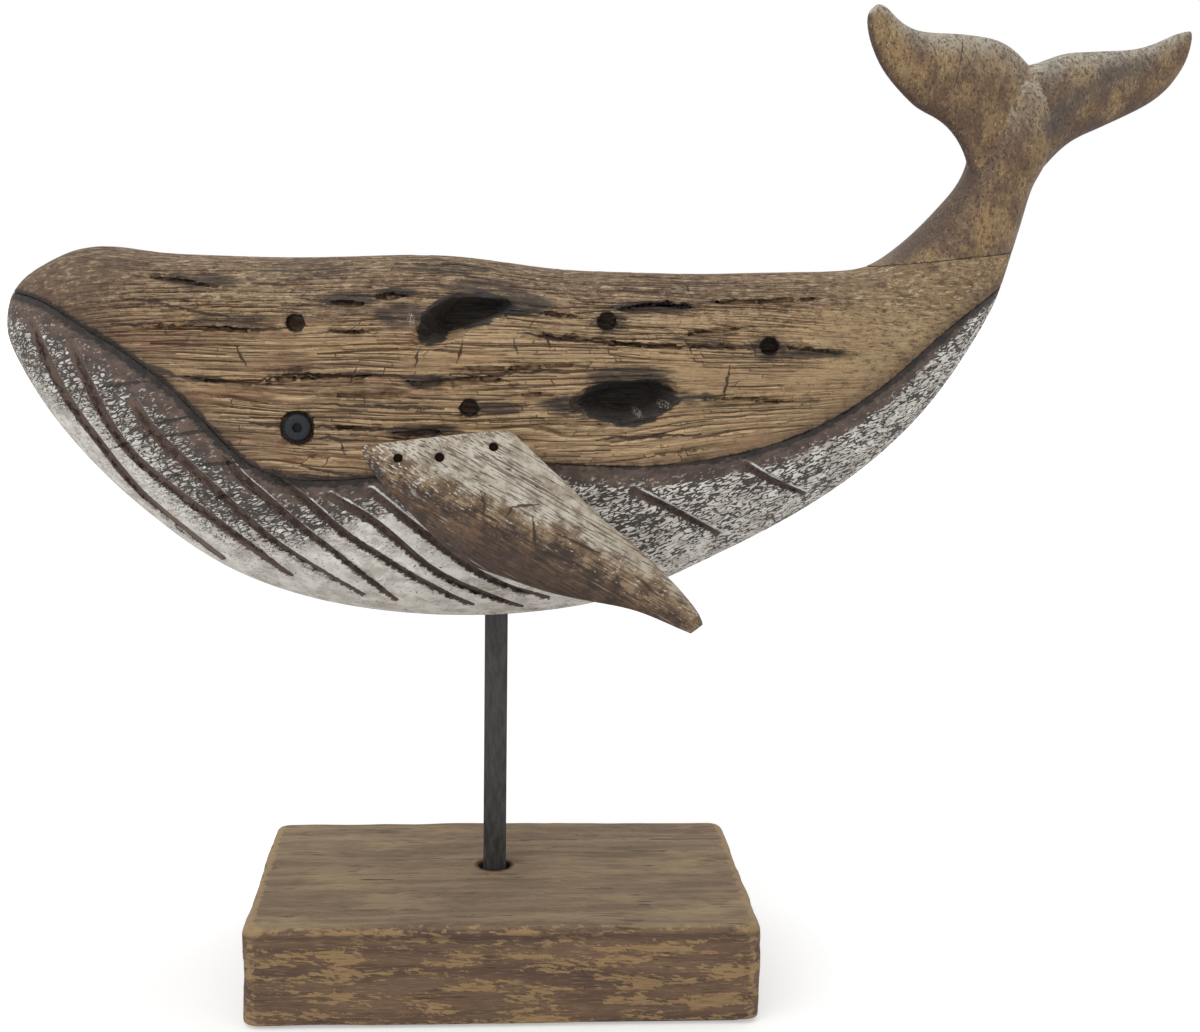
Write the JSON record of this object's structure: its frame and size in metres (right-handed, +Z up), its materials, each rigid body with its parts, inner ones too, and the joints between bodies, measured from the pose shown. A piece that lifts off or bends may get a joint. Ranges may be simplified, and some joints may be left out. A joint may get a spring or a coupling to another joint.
{
  "type": "whale figurine",
  "caption": "Carved humpback whale in weathered wood with a whitewashed belly, held over a wooden block by a square steel bar.",
  "frame": {"origin": "centre of the felt's underside, on the surface that the block stands on", "axes": "+X from the whale's head to its tail along the long side of the block, -Y towards the whale's left side, +Z up"},
  "size_m": [0.4089, 0.1352, 0.3341],
  "materials": {
    "old_timber": "weathered, cracked, matt",
    "whitewashed_wood": "worn whitewash over brown, matt",
    "tail_wood": "smooth stained wood, matt",
    "fin_wood": "worn, greyed, matt",
    "block_wood": "rough, dry brushed, matt",
    "dowel_wood": "plain beech",
    "black_steel": "black, satin",
    "eye_steel": "blackened, satin",
    "plain_steel": "zinc plated",
    "nail_steel": "dark, rusted",
    "felt": "dark felt"
  },
  "bodies": {
    "root": {"base_block": "block_wood", "base_felt": "felt", "base_screw": "plain_steel", "base_washer": "plain_steel", "body_dowel_front": "dowel_wood", "body_dowel_middle": "dowel_wood", "body_dowel_rear": "dowel_wood", "left_eye_bolt": "eye_steel", "left_fin": "fin_wood", "left_fin_nail_front": "nail_steel", "left_fin_nail_middle": "nail_steel", "left_fin_nail_rear": "nail_steel", "right_eye_bolt": "eye_steel", "right_fin": "fin_wood", "right_fin_nail_front": "nail_steel", "right_fin_nail_middle": "nail_steel", "right_fin_nail_rear": "nail_steel", "support_post": "black_steel", "tail": "tail_wood", "tail_dowel_front": "dowel_wood", "tail_dowel_rear": "dowel_wood", "whale_back": "old_timber", "whale_belly": "whitewashed_wood"}
  },
  "joints": []
}
